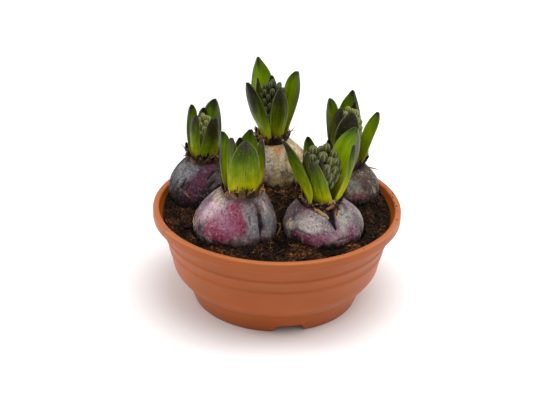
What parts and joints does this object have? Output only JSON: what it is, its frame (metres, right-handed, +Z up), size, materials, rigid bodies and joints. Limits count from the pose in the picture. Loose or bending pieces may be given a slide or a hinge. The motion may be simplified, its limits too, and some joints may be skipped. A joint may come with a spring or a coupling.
{
  "type": "planted hyacinth bulb bowl",
  "caption": "Round terracotta-coloured bulb bowl filled with soil and sprouting hyacinth bulbs, their leaves opening round tight green flower buds; stands on a table or sill.",
  "frame": {"origin": "centre of the bowl, at the level of the surface that it stands on", "axes": "+Z up along the bowl's axis, -Y towards the front as pictured, +X to the right"},
  "size_m": [0.19, 0.19, 0.166],
  "materials": {
    "terracotta": "satin moulded plastic in a terracotta colour",
    "soil": "crumbly dark peat with brown fibres",
    "bulb": "papery dry skins, mottled lilac, cream, crimson and grey",
    "collar": "torn dry brown bulb skin",
    "leaf": "smooth fleshy leaf, yellow-green at the foot, dark purple-grey at the point",
    "bud": "waxy closed buds, grey-green with darker stripes"
  },
  "bodies": {
    "root": {"bowl": "terracotta", "soil": "soil", "bulb_a": "bulb", "collar_a": "collar", "buds_a": "bud", "leaf_a_back": "leaf", "leaf_a_left": "leaf", "leaf_a_left_small": "leaf", "leaf_a_front": "leaf", "leaf_a_right": "leaf", "leaf_a_back_small": "leaf", "bulb_b": "bulb", "collar_b": "collar", "buds_b": "bud", "leaf_b_left": "leaf", "leaf_b_front_left": "leaf", "leaf_b_front_right": "leaf", "leaf_b_back_right": "leaf", "leaf_b_back": "leaf", "bulb_c": "bulb", "collar_c": "collar", "buds_c": "bud", "leaf_c_left": "leaf", "leaf_c_front_left": "leaf", "leaf_c_front": "leaf", "leaf_c_right": "leaf", "leaf_c_back_right": "leaf", "leaf_c_back_small": "leaf", "bulb_d": "bulb", "collar_d": "collar", "buds_d": "bud", "leaf_d_left": "leaf", "leaf_d_front": "leaf", "leaf_d_front_inner": "leaf", "leaf_d_front_small": "leaf", "leaf_d_right": "leaf", "leaf_d_back_right": "leaf", "leaf_d_back_left": "leaf", "leaf_d_back_small": "leaf", "bulb_e": "bulb", "collar_e": "collar", "buds_e": "bud", "leaf_e_left": "leaf", "leaf_e_front_left": "leaf", "leaf_e_front": "leaf", "leaf_e_back": "leaf", "leaf_e_back_small": "leaf", "leaf_e_right": "leaf"}
  },
  "joints": []
}
